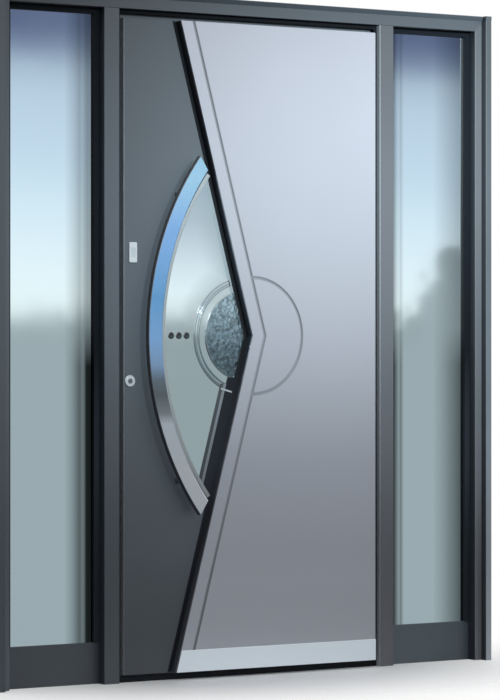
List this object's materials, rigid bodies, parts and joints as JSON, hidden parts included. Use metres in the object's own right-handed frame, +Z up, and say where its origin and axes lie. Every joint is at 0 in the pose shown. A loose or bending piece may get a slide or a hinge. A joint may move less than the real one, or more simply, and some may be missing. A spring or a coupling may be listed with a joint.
{
  "type": "hinged entrance door with two sidelights",
  "caption": "Aluminium front door with a raised arrow-edged panel, a bow handle over a lens of glass and a fixed glazed sidelight each side; the leaf swings inward on butt hinges.",
  "frame": {"origin": "underside of the threshold, in the middle of the frame's width and depth", "axes": "+X to the right seen from outside, +Y into the building, +Z up"},
  "size_m": [2.06, 0.212, 2.396],
  "materials": {
    "anthracite": "fine matt powder coat",
    "silver": "satin metallic coat",
    "black_profile": "matt black",
    "black_seal": "matt rubber",
    "stainless": "fine brushed",
    "satin_glass": "satin",
    "textured_glass": "rippled",
    "reader_shell": "matt",
    "reader_glass": "gloss"
  },
  "bodies": {
    "frame": {"left_jamb": "anthracite", "right_jamb": "anthracite", "head_rail": "anthracite", "left_casing": "anthracite", "right_casing": "anthracite", "head_casing": "anthracite", "left_mullion": "anthracite", "right_mullion": "anthracite", "left_bottom_rail": "anthracite", "right_bottom_rail": "anthracite", "door_threshold": "black_profile", "left_glass": "satin_glass", "right_glass": "satin_glass", "left_glazing_stop": "black_seal", "right_glazing_stop": "black_seal", "left_glazing_beads": "anthracite", "right_glazing_beads": "anthracite", "door_stop_seal": "black_seal", "strike_plate": "stainless", "hinge_frame_plates": "stainless", "hinge_pins": "stainless"},
    "leaf": {"lock_stile": "anthracite", "hinge_stile": "anthracite", "leaf_top_rail": "anthracite", "leaf_bottom_rail": "anthracite", "leaf_infill": "anthracite", "dark_panel": "anthracite", "arrow_channel": "black_profile", "silver_core": "black_profile", "silver_panel": "silver", "kick_plate": "stainless", "lens_glass": "satin_glass", "textured_disc": "textured_glass", "lens_gasket": "black_seal", "lens_inner_bead": "anthracite", "bow_handle": "stainless", "bow_posts": "stainless", "lock_rosette": "stainless", "lock_cylinder": "stainless", "finger_reader": "reader_shell", "reader_window": "reader_glass", "inner_handle_plate": "stainless", "inner_lever": "stainless", "inner_cylinder": "stainless", "lock_faceplate": "stainless", "hinge_leaf_plates": "stainless"}
  },
  "joints": [
    {"name": "leaf_swing", "type": "hinge", "parent": "frame", "child": "leaf", "pos_m": [0.55, 0.064, 0], "axis": [0, 0, -1], "range_deg": [0, 100]}
  ]
}
